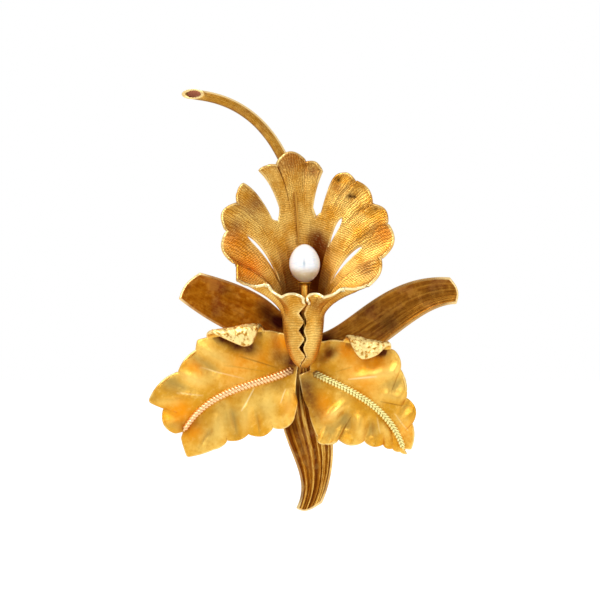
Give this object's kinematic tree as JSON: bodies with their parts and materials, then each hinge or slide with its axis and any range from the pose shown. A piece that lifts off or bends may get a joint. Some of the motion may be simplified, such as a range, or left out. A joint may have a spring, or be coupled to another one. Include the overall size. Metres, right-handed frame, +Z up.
{
  "type": "brooch",
  "caption": "Orchid flower brooch of formed gold sheet with a white pearl on a post, a curved stem, and a hinged needle with a turning safety catch on the back.",
  "frame": {"origin": "on the axis of the closed needle, behind the middle of the flower", "axes": "+X along the closed needle towards its point, +Y backwards to the cloth, +Z up towards the stem"},
  "size_m": [0.0412, 0.0123, 0.0566],
  "materials": {
    "stem_gold": "satin, with fine lines along it",
    "stem_end": "dull solder",
    "back_gold": "polished, slightly worn",
    "engraved_gold": "satin, engraved with fine crossing lines",
    "pearl": "white nacre",
    "post_gold": "polished",
    "petal_gold": "matte satin",
    "rose_gold": "bright beaded wire",
    "green_gold": "bright wire with a herringbone",
    "sepal_gold": "dark satin patina",
    "needle_gold": "polished"
  },
  "bodies": {
    "flower": {"stem": "stem_gold", "stem_plug": "stem_end", "hub_disc": "back_gold", "hub_post": "back_gold", "back_bar": "back_gold", "lip": "engraved_gold", "lip_vein": "engraved_gold", "pearl": "pearl", "pearl_cup": "post_gold", "pearl_post": "post_gold", "left_petal": "petal_gold", "right_petal": "petal_gold", "left_midrib": "rose_gold", "right_midrib": "green_gold", "left_sepal": "sepal_gold", "right_sepal": "sepal_gold", "lower_sepal": "sepal_gold", "hinge_bracket": "back_gold", "hinge_rivet": "back_gold", "catch_housing": "back_gold"},
    "pin": {"needle": "needle_gold"},
    "rotor": {"catch_rotor": "back_gold"}
  },
  "joints": [
    {"name": "needle_hinge", "type": "hinge", "parent": "flower", "child": "pin", "pos_m": [-0.0106, 0, 0], "axis": [0, 0, 1], "range_deg": [0, 95]},
    {"name": "catch_turn", "type": "hinge", "parent": "flower", "child": "rotor", "pos_m": [0.0106, 0, 0], "axis": [1, 0, 0], "range_deg": [0, 100]}
  ]
}
